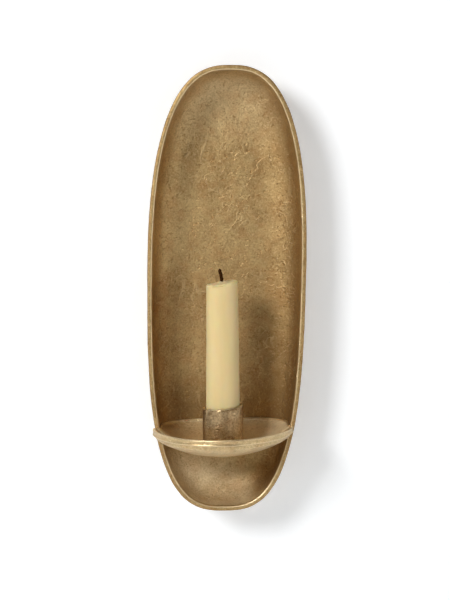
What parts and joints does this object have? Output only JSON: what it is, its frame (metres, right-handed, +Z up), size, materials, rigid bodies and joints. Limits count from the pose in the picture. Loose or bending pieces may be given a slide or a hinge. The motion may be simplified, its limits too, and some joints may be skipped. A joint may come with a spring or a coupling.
{
  "type": "wall sconce candle holder",
  "caption": "Wall sconce: a tall dished cast brass plate hung on a keyhole strip, with a half-bowl wax tray and an open socket that holds a lift-out taper candle",
  "frame": {"origin": "on the wall's surface, where the wall screw's shank sits in the hanger's slot", "axes": "+X across the wall, +Y into the wall, +Z up; the candle stands in front of the plate on the -Y side"},
  "size_m": [0.107, 0.0825, 0.3],
  "materials": {
    "dark_cast": "cast, antiqued, satin",
    "cast_brass": "cast, antiqued, satin",
    "zinc_steel": "zinc plated",
    "hanger_steel": "plain sheet",
    "rubber": "matte",
    "wax": "ivory wax, satin",
    "wick_cord": "burnt cotton"
  },
  "bodies": {
    "holder": {"back_plate": "dark_cast", "wax_tray": "cast_brass", "candle_socket": "cast_brass", "socket_screw": "zinc_steel", "socket_washer": "zinc_steel", "tray_screw_left": "zinc_steel", "tray_screw_right": "zinc_steel", "tray_washer_left": "zinc_steel", "tray_washer_right": "zinc_steel", "hanger_plate": "hanger_steel", "hanger_screw_left": "zinc_steel", "hanger_screw_right": "zinc_steel", "bumper_left": "rubber", "bumper_right": "rubber"},
    "candle_body": {"candle": "wax", "wick": "wick_cord"}
  },
  "joints": [
    {"name": "candle_lift", "type": "slide", "parent": "holder", "child": "candle_body", "axis": [0, 0, 1], "range_m": [0, 0.04]}
  ]
}
